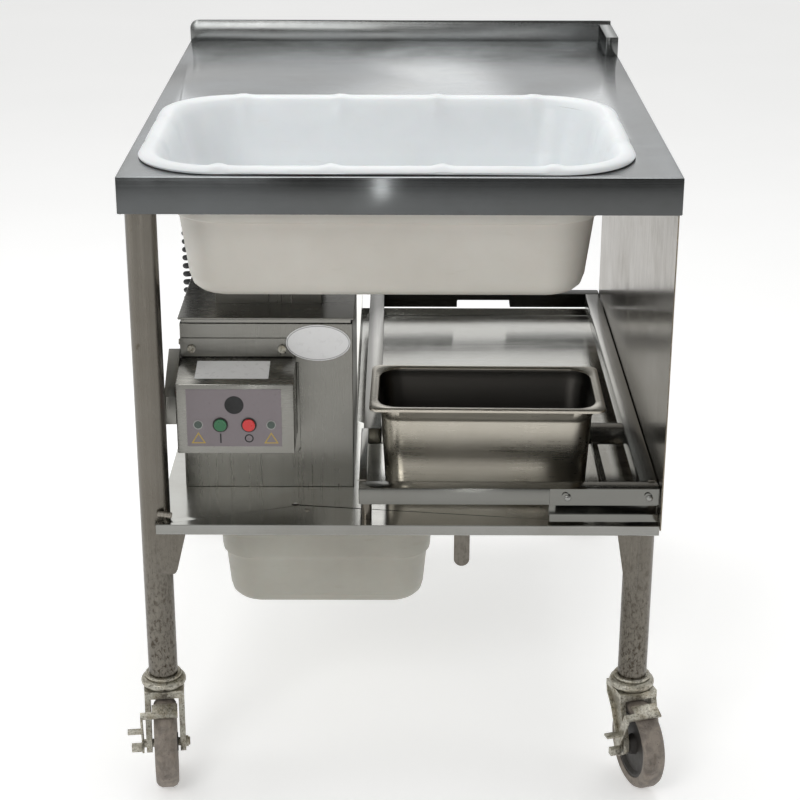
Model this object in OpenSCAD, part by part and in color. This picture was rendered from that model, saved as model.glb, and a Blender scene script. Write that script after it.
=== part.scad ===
// Mobile stainless steel breading table with a motor driven sifter.
// The origin is on the floor under the middle of the table, +Z is up and the front faces -Y.
// Depths named *_in are measured back from the front of the table top.

/* [Table] */
// Width of the table top
top_w = 720; // [700:5:740]
// Depth of the table top with its splash
top_d = 920; // [900:5:940]
// Height of the work surface
top_h = 900; // [890:5:930]
// Height of the folded apron
apron_h = 49; // [40:1:55]
// Thickness of the stainless sheet
sheet_t = 2; // [1.5:0.5:2]
// Height of the splash at the back
splash_h = 35; // [25:5:60]
// Thickness of the splash
splash_t = 4; // [2:1:6]
// Length of the splash's return along the right side
splash_return_l = 125; // [60:5:200]
// Width of the splash's boxed return
splash_return_w = 20; // [14:1:30]

/* [Legs and casters] */
// Outer diameter of a leg tube
leg_dia = 41.3; // [38:0.1:41.3]
// Wall of a leg tube
leg_wall = 1.5; // [1.2:0.1:2]
// Distance of a left leg's axis from the middle of the table
leg_x = 337; // [330:1:337]
// Distance of a right leg's axis from the middle of the table
leg_right_x = 334.2; // [325:1:337]
// Distance of a leg's axis in from the front or back of the table
leg_in = 50; // [45:1:60]
// Diameter of a wheel
wheel_dia = 127; // [120:1:127]
// Width of a wheel's tread
wheel_w = 32; // [28:1:32]
// How far a wheel trails behind its stem
caster_trail = 34; // [32:1:36]
// Turn of the left front caster from straight ahead
front_left_turn = 7; // [-30:1:30]
// Turn of the right front caster from straight ahead
front_right_turn = 17; // [-30:1:30]
// Turn of the right rear caster from straight back
rear_right_turn = 25; // [-30:1:30]

/* [Shelf] */
// Height of the shelf's surface
shelf_h = 406; // [400:1:410]
// Depth of the shelf's folded lip
shelf_lip = 15; // [10:1:20]
// Left end of the shelf
shelf_left = -333; // [-335:1:-325]
// Right end of the shelf
shelf_right = 357; // [355:1:357]
// How far in the shelf's front lip stands
shelf_in = 19; // [15:1:22]

/* [Tubs and pan] */
// Width of the upper tub's rim
tub_rim_w = 656; // [650:1:660]
// Depth of the upper tub's rim
tub_rim_d = 446; // [440:1:450]
// How far in the upper tub's rim starts
tub_in = 8; // [6:1:12]
// Offset of the upper tub from the middle of the table
tub_x = -17; // [-20:1:0]
// Height of the upper tub's underside
tub_bottom = 717; // [716:1:730]
// Wall of both tubs
tub_wall = 5; // [3:0.5:6]
// Width of the lower tub's rim
low_tub_w = 342; // [325:1:345]
// Length of the lower tub's rim
low_tub_l = 460; // [440:1:470]
// Height of the lower tub
low_tub_h = 131; // [110:1:140]
// Width of the pan's rim
pan_w = 325; // [320:1:330]
// Depth of the pan's rim
pan_d = 176; // [170:1:178]
// Height of the pan
pan_h = 150; // [100:1:150]

/* [Sifter] */
// Width of the sifter housing
house_w = 240; // [240:1:244]
// Depth of the sifter housing
house_d = 244; // [240:1:260]
// How far in the sifter housing's front stands
house_in = 148; // [146:1:150]
// Height of the top of the lid
lid_h = 662; // [660:1:664]
// Width of the inlet neck
neck_w = 151; // [140:1:151]
// Depth of the inlet neck
neck_d = 140; // [120:1:151]
// Diameter of the paddle shaft
shaft_dia = 19; // [16:1:20]
// Reach of the paddles from the shaft's axis
paddle_r = 60; // [50:1:61]

/* [Rack] */
// Width and height of a rack bar
bar = 25; // [22:1:25]
// Height of the rack's underside
rack_h = 437; // [430:1:440]
// Left side of the rack
rack_left = -52; // [-55:1:-50]
// Right side of the rack
rack_right = 354; // [345:1:355]
// Length of the rack
rack_l = 866; // [840:1:870]

/* [Cord] */
// Diameter of the cord
cord_dia = 8; // [7:0.5:9]
// Outer diameter of the curly stretch
curl_dia = 27; // [25:1:30]

/* [Hidden] */
$fn = 48;
hull_fn = 32;
eps = 0.01;
gap = 0.3;
run_gap = 0.06;

steel = "silver";
dark_steel = "dimgray";
zinc = "darkgray";
plastic_white = "ivory";

front_y = -top_d / 2;
back_y = top_d / 2;
side_x = top_w / 2;
deck_z = top_h - sheet_t;
apron_z = top_h - apron_h;
hem = 12;

leg_r = leg_dia / 2;
leg_z = 158;
wheel_r = wheel_dia / 2;
hub_r = 48;
axle_r = 6;
pin_r = 6;
collar_r = 32;
collar_z = 142;
fork_top = collar_z - 0.5;
fork_in = 20;
fork_out = 28;
fork_wall = 3;

// Each corner of the table: x and y of the leg and the turn of its caster
CORNERS = [
    [-leg_x, front_y + leg_in, front_left_turn],
    [leg_right_x, front_y + leg_in, front_right_turn],
    [-leg_x, back_y - leg_in, 180],
    [leg_right_x, back_y - leg_in, 180 - rear_right_turn]
];

tub_y = front_y + tub_in + tub_rim_d / 2;
tub_body_w = tub_rim_w - 59;
tub_body_d = tub_rim_d - 58;
tub_taper = 60;
tub_rim_r = 105;
tub_body_r = 85;
tub_rim_h = 9;

low_tub_x = -105;
low_tub_y = front_y + 85 + low_tub_l / 2;
low_rim_z = 366;

pan_x = 122;
pan_y = front_y + 158;
pan_z = shelf_h + gap;
pan_turn = -0.8;

house_x = -185;
house_front = front_y + house_in;
house_back = house_front + house_d;
house_top = lid_h - 9;
house_t = 1.5;
neck_y = front_y + 210 + neck_d / 2;
shaft_z = 575;
trough_r = 64;

box_left = -305;
box_right = -144;
box_front = front_y + 72;
box_bottom = 490;
box_top = 592;
box_back_top = 605;
button_z = 533;
START_X = -245;
STOP_X = -206;
LAMP_X = [-275.5, -175.5];
BRACKET_BOLTS = [-289, -163];
oval_x = -113;
oval_z = 625;
button_r = 8.6;

rack_front = front_y + 19;
rack_back = rack_front + rack_l;
rack_top = rack_h + bar;
cross_y = front_y + 232;
guide_x = -66;

curl_x = -318;
curl_y = front_y + 430;
curl_low = 470;
curl_high = 800;
relief_x = -285;
relief_z = 500;
relief_l = 35;

// Lower lead: from the strain relief down in a slack bend and up into the curly stretch
LOW_LEAD = [
    [relief_x, house_back + relief_l, relief_z],
    [relief_x, house_back + 62, 499],
    [-286, house_back + 82, 494],
    [-288, house_back + 99, 482],
    [-292, house_back + 107, 464],
    [-297, house_back + 103, 445],
    [-303, house_back + 90, 431],
    [-309, house_back + 72, 425],
    [-314, house_back + 53, 428],
    [curl_x, house_back + 40, 440],
    [curl_x, curl_y, 455],
    [curl_x, curl_y, curl_low]
];

// Upper lead: over the hook and down to the plug
hook_y = curl_y + 34;
hook_z = curl_high + 26;
HIGH_LEAD = [
    [curl_x, curl_y, curl_high],
    for (a = [20 : 20 : 180]) [curl_x, hook_y - 34 * cos(a), curl_high + 34 * sin(a)],
    [curl_x, hook_y + 34, 770],
    [curl_x, hook_y + 34, 740],
    [curl_x, hook_y + 34, 710]
];
plug_z = 710;

// ---------- shared shapes ----------

module span(x, y, z) {
    translate([x[0], y[0], z[0]]) cube([x[1] - x[0], y[1] - y[0], z[1] - z[0]]);
}

module rounded(w, d, r) {
    square([w - 2 * r, d], center = true);
    square([w, d - 2 * r], center = true);
    for (x = [-1, 1], y = [-1, 1])
        translate([x * (w / 2 - r), y * (d / 2 - r)]) circle(r);
}

module plate(w, d, r, z, t) {
    translate([0, 0, z]) linear_extrude(t) rounded(w, d, r);
}

// A polygon of [y, z] points given a thickness along X
module side_plate(x0, x1, points) {
    translate([x0, 0, 0]) rotate([90, 0, 90]) linear_extrude(x1 - x0) polygon(points);
}

module rod_x(x0, x1, y, z, r) {
    translate([x0, y, z]) rotate([0, 90, 0]) cylinder(r = r, h = x1 - x0);
}

module rod_y(y0, y1, x, z, r) {
    translate([x, y0, z]) rotate([-90, 0, 0]) cylinder(r = r, h = y1 - y0);
}

// Sizes of a tapered tub at its mouth, low on its wall and at its floor
module tub_form(w, d, r, taper, z0, z1, edge) {
    hull($fn = hull_fn) {
        plate(w, d, r, z1 - 1, 1);
        plate(w - taper, d - taper, r - taper / 2, z0 + edge, 1);
        plate(w - taper - 0.6 * edge, d - taper - 0.6 * edge, r - taper / 2 - 0.2 * edge,
              z0 + 0.3 * edge, 1);
        plate(w - taper - 2 * edge, d - taper - 2 * edge, r - taper / 2 - 0.8 * edge, z0, 1);
    }
}

// Tube swept along points, with rings of n sides turned square to the route
function unit(v) = v / norm(v);
function heading(p, i) =
    unit(p[min(i + 1, len(p) - 1)] - p[max(i - 1, 0)]);
function ring(c, t, r, n) =
    let (u = unit(cross(t, [1, 0, 0])), v = cross(u, t))
    [for (k = [0 : n - 1]) c + r * (cos(360 * k / n) * u + sin(360 * k / n) * v)];

module swept(points, r, n) {
    rings = len(points);
    verts = [for (i = [0 : rings - 1]) each ring(points[i], heading(points, i), r, n)];
    sides = [
        for (i = [0 : rings - 2], k = [0 : n - 1])
            let (a = i * n + k, b = i * n + (k + 1) % n)
            [a, b, b + n, a + n]
    ];
    first = [for (k = [n - 1 : -1 : 0]) k];
    last = [for (k = [0 : n - 1]) (rings - 1) * n + k];
    polyhedron(verts, concat([first], sides, [last]), convexity = 4);
}

// Places children in a caster's own frame: stem on the Z axis, wheel towards -Y
module at_corner(i) {
    translate([CORNERS[i][0], CORNERS[i][1], 0]) rotate([0, 0, CORNERS[i][2]]) children();
}

// ---------- table ----------

module table_top() {
    color(steel) difference() {
        union() {
            span([-side_x, side_x], [front_y, back_y], [deck_z, top_h]);
            span([-side_x, side_x], [front_y, front_y + sheet_t], [apron_z, top_h]);
            span([-side_x, side_x], [back_y - sheet_t, back_y], [apron_z, top_h]);
            for (s = [-1, 1])
                span([min(s * side_x, s * (side_x - sheet_t)), max(s * side_x, s * (side_x - sheet_t))],
                     [front_y, back_y], [apron_z, top_h]);
            for (y = [front_y, back_y - hem])
                span([6 - side_x, side_x - 6], [y, y + hem], [apron_z, apron_z + sheet_t]);
        }
        translate([tub_x, tub_y, deck_z - 1])
            linear_extrude(sheet_t + 2)
                rounded(tub_body_w + 8, tub_body_d + 8, tub_body_r + 4);
    }
}

module backsplash() {
    top = top_h + splash_h;
    r = 14;
    y0 = back_y - splash_t;
    color(steel) {
        translate([0, back_y, 0]) rotate([90, 0, 0]) linear_extrude(splash_t) {
            translate([-side_x + r, top_h]) square([top_w - r, splash_h]);
            translate([-side_x, top_h]) square([top_w, splash_h - r]);
            translate([-side_x + r, top - r]) circle(r);
        }
        difference() {
            span([side_x - splash_return_w, side_x], [y0 - splash_return_l, y0], [top_h, top - 5]);
            span([side_x - splash_return_w + sheet_t, side_x - sheet_t],
                 [y0 - splash_return_l + sheet_t, y0 - sheet_t], [top_h - 1, top - 5 - sheet_t]);
        }
    }
}

module shelf() {
    z = shelf_h - sheet_t;
    y0 = front_y + shelf_in;
    y1 = back_y - 15;
    low = shelf_h - shelf_lip;
    color(steel) difference() {
        union() {
            span([shelf_left, shelf_right], [y0, y1], [z, shelf_h]);
            span([shelf_left, shelf_right], [y0, y0 + sheet_t], [low, shelf_h]);
            span([shelf_left, shelf_right], [y1 - sheet_t, y1], [low, shelf_h + 14]);
            span([shelf_right - sheet_t, shelf_right], [y0, y1], [low, shelf_h]);
            span([guide_x - 2, guide_x], [house_back + 6, rack_back - 4], [z + 0.5, rack_top]);
            span([guide_x - 18, guide_x], [house_back + 6, rack_back - 4], [rack_top - 2, rack_top]);
        }
        for (c = [CORNERS[0], CORNERS[2]])
            translate([c[0], c[1], z - 20]) cylinder(r = leg_r, h = 40);
        span([house_x - 62, house_x + 62], [neck_y - 82, neck_y + 82], [z - 1, shelf_h + 1]);
        translate([-145, front_y + 87, z - 1]) cylinder(r = 5, h = sheet_t + 2);
    }
}

module side_panel() {
    x1 = shelf_right;
    x0 = x1 - sheet_t;
    run_z = rack_h - gap;
    color(steel) {
        span([x0, x1], [front_y + 3, back_y - 46], [shelf_h, deck_z]);
        span([x0 - 2, x0], [front_y + 80, back_y - 60], [shelf_h, run_z]);
        span([x0 - 22, x0 - 2], [front_y + 80, back_y - 60], [run_z - 2, run_z]);
    }
}

module leg(i) {
    top = CORNERS[i][0] < 0 ? deck_z : shelf_h - sheet_t;
    color(dark_steel) translate([CORNERS[i][0], CORNERS[i][1], leg_z]) difference() {
        cylinder(r = leg_r, h = top - leg_z);
        translate([0, 0, -1]) cylinder(r = leg_r - leg_wall, h = top - leg_z + 2);
    }
}

module gusset(low, reach) {
    top = shelf_h - sheet_t;
    color(dark_steel) {
        rotate([90, 0, 0]) linear_extrude(2)
            polygon([[2, top], [reach, top], [reach, top - 13], [reach - 13, low + 8],
                     [reach - 16, low + 2], [reach - 21, low], [8, low], [4, low + 3]]);
        side_plate(leg_r + 0.1, leg_r + 2.1, [[0, top], [56, top], [0, low + 22]]);
    }
}

module leg_gussets() {
    for (c = CORNERS) {
        sx = c[0] < 0 ? 0 : 1;
        sy = c[1] < 0 ? 0 : 1;
        translate([c[0], c[1] - (1 - 2 * sy) * (leg_in - shelf_in - sheet_t - 2), 0])
            mirror([sx, 0, 0]) mirror([0, sy, 0]) gusset(sx > 0 ? 305 : 329, sx > 0 ? 34 : 44);
    }
}

module tub_rails() {
    z1 = shelf_h - sheet_t;
    z0 = low_rim_z - 15.5;
    y0 = front_y + 104;
    y1 = front_y + 610;
    web = low_tub_w / 2 + 4;
    color(dark_steel) {
        for (s = [0, 1]) translate([low_tub_x, 0, 0]) mirror([s, 0, 0]) {
            span([web, web + 2], [y0, y1], [z0, z1]);
            span([web - 24, web], [y0, y1], [z0, z0 + 2]);
            span([web + 2, web + 16], [y0, y1], [z1 - 2, z1]);
        }
        translate([low_tub_x + web + 7, front_y + 64, 0]) rotate([90, 0, 0]) linear_extrude(2) {
            translate([0, 334]) square([22, z1 - 334]);
            translate([11, 334]) circle(11);
        }
    }
}

module stem() {
    color(zinc) {
        rotate_extrude() difference() {
            union() {
                square([collar_r - 5, 13]);
                translate([collar_r - 6.5, 6.5]) circle(6.5);
                translate([0, 13 - eps]) square([leg_r + 4, 5]);
                translate([leg_r + 3, 16]) circle(2.6);
            }
            translate([-20, -20]) square([20, 60]);
            translate([0, leg_z - collar_z]) square([leg_r, 10]);
        }
        translate([0, 0, 13 - eps]) cylinder(r = leg_r - leg_wall - 0.2, h = 50);
        translate([0, 0, -12]) cylinder(r = pin_r, h = 12 + eps);
        translate([0, 0, -17]) cylinder(r = 9, h = 5 + eps);
    }
}

module caster_stems() {
    for (c = CORNERS) translate([c[0], c[1], collar_z]) stem();
}

// ---------- casters ----------

module fork(i) {
    axle_y = -caster_trail;
    color(zinc) at_corner(i) {
        difference() {
            union() {
                span([-fork_out, fork_out], [-25, 25], [134, fork_top]);
                translate([0, 0, 134]) cylinder(r = 29, h = fork_top - 134);
            }
            translate([0, 0, 130]) cylinder(r = pin_r + run_gap, h = 20);
        }
        span([-fork_out, fork_out], [-27, -25 + eps], [130, fork_top]);
        for (s = [0, 1]) mirror([s, 0, 0]) {
            difference() {
                side_plate(fork_in, fork_out,
                           [[25, 134 + eps], [-25, 134 + eps], [-30, 118], [-46, 76], [-47, 60],
                            [-41, 52], [-27, 52], [-20, 62], [4, 104], [22, 122]]);
                side_plate(fork_in + fork_wall, fork_out + 1,
                           [[22, 140], [-22, 140], [-27, 118], [-43, 76], [-44, 60],
                            [-39, 55], [-29, 55], [-23, 63], [1, 105], [20, 125]]);
            }
            rod_x(fork_in + fork_wall - eps, fork_out, axle_y, wheel_r, 9);
        }
        rod_x(-fork_out - 6, fork_out + 6, axle_y, wheel_r, axle_r);
        rod_x(fork_out - eps, fork_out + 3.5, axle_y, wheel_r, 8);
    }
}

// A wheel profile of [radius, width] points turned about the axle
module about_axle(i, points) {
    at_corner(i) translate([0, -caster_trail, wheel_r])
        rotate([0, 90, 0]) rotate_extrude($fn = 64) polygon(points);
}

module tread(i) {
    w = wheel_w / 2;
    color("gray") about_axle(i, [
        [hub_r, -w + 2], [wheel_r - 7, -w], [wheel_r - 2.5, -w + 3], [wheel_r, -w + 8],
        [wheel_r, w - 8], [wheel_r - 2.5, w - 3], [wheel_r - 7, w], [hub_r, w - 2]
    ]);
}

module hub(i) {
    bore = axle_r + run_gap;
    color("dimgray") about_axle(i, [
        [bore, -17], [13, -17], [15, -8], [hub_r - 8, -8], [hub_r - 4, -w_rim()], [hub_r, -w_rim()],
        [hub_r, w_rim()], [hub_r - 4, w_rim()], [hub_r - 8, 8], [15, 8], [13, 17], [bore, 17]
    ]);
}

function w_rim() = wheel_w / 2 - 3;

module brake(i) {
    shoe_in = wheel_r + 2.2;
    arm_out = fork_out + 6.5;
    arm_in = fork_out + 3.5;
    color(zinc) at_corner(i) translate([0, -caster_trail, wheel_r]) {
        // Shoe over the tread, then the bridge to the arm
        for (x = [[-18, 18, 82], [-arm_out, -18 + eps, 70]])
            translate([x[0], 0, 0]) rotate([90, 0, 90]) linear_extrude(x[1] - x[0])
                intersection() {
                    difference() {
                        circle(shoe_in + 3, $fn = 96);
                        circle(shoe_in, $fn = 96);
                    }
                    polygon([[0, 0], for (a = [61, x[2]]) -110 * [cos(a), -sin(a)]]);
                }
        difference() {
            side_plate(-arm_out, -arm_in,
                       [[-12, 8], [-34, 56], [-31, 61], [-23, 64], [-3, 22], [6, 8], [9, 0],
                        [4, -9], [-12, -9]]);
            rod_x(-arm_out - 1, -arm_in + 1, 0, 0, axle_r + run_gap);
        }
        // Upper and lower treadle tabs
        span([-54, -arm_out + eps], [-12, 0], [22, 25]);
        span([-49, -arm_out + eps], [-16, -7], [-4, 6]);
    }
}

// ---------- sifter ----------

module housing_shell() {
    x = [house_x - house_w / 2, house_x + house_w / 2];
    color(steel) difference() {
        span(x, [house_front, house_back], [shelf_h, house_top]);
        span([x[0] + house_t, x[1] - house_t], [house_front + house_t, house_back - house_t],
             [shelf_h - 1, house_top + 1]);
        rod_y(house_back - 5, house_back + 5, house_x, shaft_z, 16);
        rod_y(house_back - 5, house_back + 5, relief_x, relief_z, 9);
        for (s = [START_X, STOP_X]) rod_y(house_front - 5, house_front + 5, s, 560, 4);
    }
}

module housing_lid() {
    x = [house_x - house_w / 2 - 2, house_x + house_w / 2 + 2];
    y = [house_front - 2, house_back + 2];
    color(steel) difference() {
        union() {
            span(x, y, [lid_h - 3, lid_h]);
            span([x[0] + 4, x[1] - 4], [y[0] + 4, y[1] - 4], [house_top, lid_h - 3]);
        }
        span([x[0] + 8, x[1] - 8], [y[0] + 8, y[1] - 8], [house_top - 1, lid_h - 3]);
        span([house_x - neck_w / 2, house_x + neck_w / 2],
             [neck_y - neck_d / 2, neck_y + neck_d / 2], [lid_h - 10, lid_h + 1]);
    }
}

module inlet_neck() {
    x = neck_w / 2;
    y = neck_d / 2;
    color(steel) translate([house_x, neck_y, 0]) difference() {
        span([-x, x], [-y, y], [shaft_z + 66, tub_bottom - 1.5]);
        span([-x + 2, x - 2], [-y + 2, y - 2], [shaft_z, tub_bottom]);
    }
}

// Outline of the control box's side, drawn in by t on every face but the back
function box_side(t) = [
    [house_front, box_bottom + t], [box_front + t, box_bottom + t],
    [box_front + t, box_top - t], [house_front, box_back_top - t]
];

module control_box() {
    color(steel) difference() {
        side_plate(box_left, box_right, box_side(0));
        side_plate(box_left + house_t, box_right - house_t, box_side(house_t));
        for (x = [START_X, STOP_X])
            rod_y(box_front - 1, box_front + 5, x, button_z, button_r + gap);
        for (x = LAMP_X) rod_y(box_front - 1, box_front + 5, x, button_z, 4);
    }
}

module control_overlay() {
    color("rosybrown") difference() {
        span([-291, -161], [box_front - 0.8, box_front], [501, 585]);
        for (x = [START_X, STOP_X])
            rod_y(box_front - 2, box_front + 1, x, button_z, button_r + gap);
        for (x = LAMP_X) rod_y(box_front - 2, box_front + 1, x, button_z, 5.2);
    }
}

module box_bracket() {
    x = [-321, box_left];
    outer = [[house_front, 533], [box_front, 533], [box_front, 573], [house_front, 616]];
    inner = [[house_front + 1, 530], [box_front + 2, 530], [box_front + 2, 571],
             [house_front + 1, 613]];
    color(steel) {
        difference() {
            side_plate(x[0], x[1], outer);
            side_plate(x[0] + 2, x[1] - 2, inner);
        }
        difference() {
            span([box_left, box_right - 5], [house_front - 2, house_front], [box_back_top, 632]);
            for (b = BRACKET_BOLTS) rod_y(house_front - 3, house_front + 1, b, 617, 3);
            translate([oval_x, house_front, oval_z]) rotate([90, 0, 0]) linear_extrude(6, center = true)
                oval(gap);
        }
        translate([box_right, house_front, 0]) rotate([90, 0, 0]) linear_extrude(2)
            polygon([[0, 596], [3.5, 596], [4.5, 469],
                     for (a = [0 : 15 : 90]) [-5.5 + 10 * cos(a), 468 - 10 * sin(a)],
                     [-60, 458], [-60, box_bottom - 0.4], [0, box_bottom - 0.4]]);
    }
}

module indicator_lamps() {
    color("darkgreen") for (x = LAMP_X) {
        rod_y(box_front - 2.2, box_front, x, button_z, 5.2);
        rod_y(box_front - eps, box_front + 16, x, button_z, 4);
    }
}

module oval(grow) {
    polygon([for (a = [0 : 6 : 354]) [(45 + grow) * cos(a), (26.5 + grow) * sin(a)]]);
}

module blank_plates() {
    color("white") translate([oval_x, house_front, oval_z]) rotate([90, 0, 0]) linear_extrude(1)
        oval(0);
    color("black") rod_y(box_front - 1.4, box_front - 0.8, -225.5, 562, 13);
}

module push_button(x) {
    rod_y(box_front - 3.6, box_front + 6, x, button_z, button_r);
    rod_y(box_front + 6 - eps, box_front + 9, x, button_z, 10.5);
    rod_y(box_front + 9 - eps, box_front + 20, x, button_z, 5);
}

module start_button() {
    color("green") push_button(START_X);
}

module stop_button() {
    color("red") push_button(STOP_X);
}

module housing_bolts() {
    color(zinc) {
        for (x = BRACKET_BOLTS) {
            rod_y(house_front - 6, house_front - 2, x, 617, 5.5);
            rod_y(house_front - 2 - eps, house_front, x, 617, 3);
        }
        for (z = [596, 622])
            rod_x(house_x - house_w / 2 - 3, house_x - house_w / 2, house_front + 12, z, 4);
    }
}

module screen_trough() {
    y0 = neck_y - 92;
    y1 = neck_y + 92;
    color(steel) {
        translate([house_x, y1, shaft_z]) rotate([90, 0, 0]) linear_extrude(y1 - y0)
            difference() {
                union() {
                    circle(trough_r + 2, $fn = 96);
                    translate([-trough_r - 2, 0]) square([2 * trough_r + 4, 66]);
                }
                circle(trough_r, $fn = 96);
                translate([-trough_r, 0]) square([2 * trough_r, 70]);
            }
        for (y = [y0 - 2, y1]) difference() {
            span([house_x - 78, house_x + 78], [y, y + 2], [shelf_h + 88, shaft_z + 66]);
            rod_y(y - 1, y + 3, house_x, shaft_z, 20);
        }
    }
}

module screen_slots() {
    for (a = [-65 : 10 : 65], y = [-70, -22, 26])
        translate([house_x, neck_y + y, shaft_z]) rotate([0, a, 0])
            span([-3, 3], [0, 42], [-trough_r - 6, -trough_r + 6]);
}

module outlet_chute() {
    color(steel) difference() {
        span([house_x - 60, house_x + 60], [neck_y - 80, neck_y + 80],
             [shelf_h - shelf_lip, shaft_z - trough_r - 6]);
        span([house_x - 58, house_x + 58], [neck_y - 78, neck_y + 78], [shelf_h - 40, shaft_z]);
    }
}

module shaft_bearings() {
    color("lightgray") for (y = [neck_y - 99, neck_y + 87]) difference() {
        rod_y(y, y + 12, house_x, shaft_z, 20);
        rod_y(y - 1, y + 13, house_x, shaft_z, shaft_dia / 2 + run_gap);
    }
}

module paddle_shaft() {
    color("lightgray") rod_y(neck_y - 104, house_back + 30, house_x, shaft_z, shaft_dia / 2);
}

module paddle_blades() {
    color("lightgray") for (k = [0 : 7])
        translate([house_x, neck_y - 70 + 20 * k, shaft_z]) rotate([0, 45 * k, 0]) {
            difference() {
                span([-7, 7], [-6, 6], [-shaft_dia / 2 - 4, shaft_dia / 2 + 4]);
                rod_y(-7, 7, 0, 0, shaft_dia / 2);
            }
            span([-9, 9], [-2, 2], [shaft_dia / 2 + 4 - eps, paddle_r]);
        }
}

module gearbox() {
    y0 = house_back + 0.2;
    color(dark_steel) difference() {
        union() {
            span([house_x - 44, house_x + 44], [y0, y0 + 50], [shaft_z - 44, shaft_z + 44]);
            rod_y(y0, y0 + 58, house_x, shaft_z, 40);
        }
        rod_y(y0 - 1, y0 + 34, house_x, shaft_z, shaft_dia / 2 + run_gap);
    }
}

module drive_motor() {
    y0 = house_back + 58.4;
    color("gray") {
        rod_y(y0, y0 + 110, house_x, shaft_z, 45);
        rod_y(y0 + 110 - eps, y0 + 122, house_x, shaft_z, 38);
        for (a = [0 : 20 : 340])
            translate([house_x, 0, shaft_z]) rotate([0, a, 0])
                span([-1.5, 1.5], [y0 + 8, y0 + 96], [44, 49]);
        span([house_x - 30, house_x + 30], [y0 + 20, y0 + 84], [shaft_z + 44, shaft_z + 68]);
    }
}

// ---------- cord ----------

module strain_relief() {
    color("black") translate([relief_x, house_back - 8, relief_z]) rotate([-90, 0, 0]) {
        cylinder(r = 8.9, h = 8);
        translate([0, 0, 8 - eps]) cylinder(r = 13, h = 4);
        translate([0, 0, 12 - eps]) cylinder(r1 = 8.5, r2 = cord_dia / 2 + 1, h = relief_l - 4);
    }
}

module cord_hook() {
    x = curl_x - 18;
    color(steel) {
        translate([x, hook_y, hook_z]) cylinder(r = 4, h = deck_z - hook_z - 3);
        translate([x, hook_y, deck_z - 3]) cylinder(r = 14, h = 3);
        rod_x(x - 4, curl_x + 22, hook_y, hook_z, 4);
        translate([curl_x + 22, hook_y, hook_z - 4]) cylinder(r = 4, h = 20);
    }
}

module cord_leads() {
    color("black") {
        swept(LOW_LEAD, cord_dia / 2, 10);
        swept(HIGH_LEAD, cord_dia / 2, 10);
    }
}

module curly_cord() {
    color("black") translate([curl_x, curl_y, curl_low]) cylinder(r = curl_dia / 2, h = curl_high - curl_low);
}

module plug() {
    color("black") translate([curl_x, hook_y + 34, plug_z]) {
        translate([0, 0, -26]) cylinder(r1 = 9, r2 = cord_dia / 2 + 1, h = 26);
        translate([0, 0, -58]) cylinder(r = 17, h = 32 + eps);
    }
    color("gold") translate([curl_x, hook_y + 34, plug_z - 78]) {
        for (s = [-1, 1]) translate([s * 6.35 - 0.8, -3.2, 0]) cube([1.6, 6.4, 20 + eps]);
        translate([0, 9, 0]) cylinder(r = 2.4, h = 20 + eps);
    }
}

// ---------- rack ----------

module tube_x(x0, x1, y0) {
    difference() {
        span([x0, x1], [y0, y0 + bar], [rack_h, rack_top]);
        span([x0 - 1, x1 + 1], [y0 + 2, y0 + bar - 2], [rack_h + 2, rack_top - 2]);
    }
}

module rack_front_bar() {
    color(steel) tube_x(rack_left - 3, rack_right, rack_front);
}

module rack_rear_bar() {
    color(steel) difference() {
        tube_x(rack_left, rack_right, rack_back - bar);
        span([102, 196], [rack_back - bar - 1, rack_back + 1], [rack_h - 1, rack_h + 13]);
    }
}

module rack_cross_bar() {
    y = [rack_front + bar, cross_y];
    color(steel) {
        tube_x(rack_left + bar, rack_right - bar, cross_y);
        span([280, 282], y, [rack_h, rack_h + 10]);
        span([282, 291], y, [rack_h, rack_h + 2]);
    }
}

module rack_left_rail() {
    y1 = rack_back - bar;
    x = rack_left;
    color(steel) difference() {
        union() {
            span([x, x + bar], [cross_y, y1], [rack_h, rack_top]);
            span([x - 3, x + 7], [rack_front + bar, cross_y + 1], [rack_h, rack_top]);
        }
        span([x + 2, x + bar - 2], [cross_y + 2, y1 + 1], [rack_h + 2, rack_top - 2]);
        span([x - 1.5, x + 5.5], [rack_front, cross_y], [rack_h + 1.5, rack_top - 1.5]);
    }
}

module rack_right_rail() {
    y = [rack_front + bar, rack_back - bar];
    color(steel) difference() {
        span([rack_right - bar, rack_right], y, [rack_h, rack_top]);
        span([rack_right - bar + 2, rack_right - 2], [y[0] - 1, y[1] + 1],
             [rack_h + 2, rack_top - 2]);
    }
}

module rack_plate() {
    color(steel) {
        span([205, rack_right], [rack_front - 2, rack_front], [rack_h + 2, rack_top]);
        for (x = [226, 338]) rod_y(rack_front - 4.4, rack_front - 2 + eps, x, rack_h + 15.6, 4.5);
    }
}

module rack_posts() {
    color(steel) for (p = [[-45, rack_front + 27], [-40, rack_back - 12]])
        translate([p[0], p[1], shelf_h + gap]) cylinder(r = 7.3, h = rack_h - shelf_h - gap);
}

module rack_channel() {
    x = [206, rack_right];
    y = rack_front + 4;
    low = rack_h - 26.5;
    color(steel) {
        span(x, [y, y + 20], [rack_h - 2, rack_h]);
        span(x, [y + 18, y + 20], [low, rack_h - 2]);
        span(x, [y, y + 18], [low, low + 2]);
        span(x, [y, y + 2], [low + 2, low + 11.5]);
    }
}

// ---------- tubs and pan ----------

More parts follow.
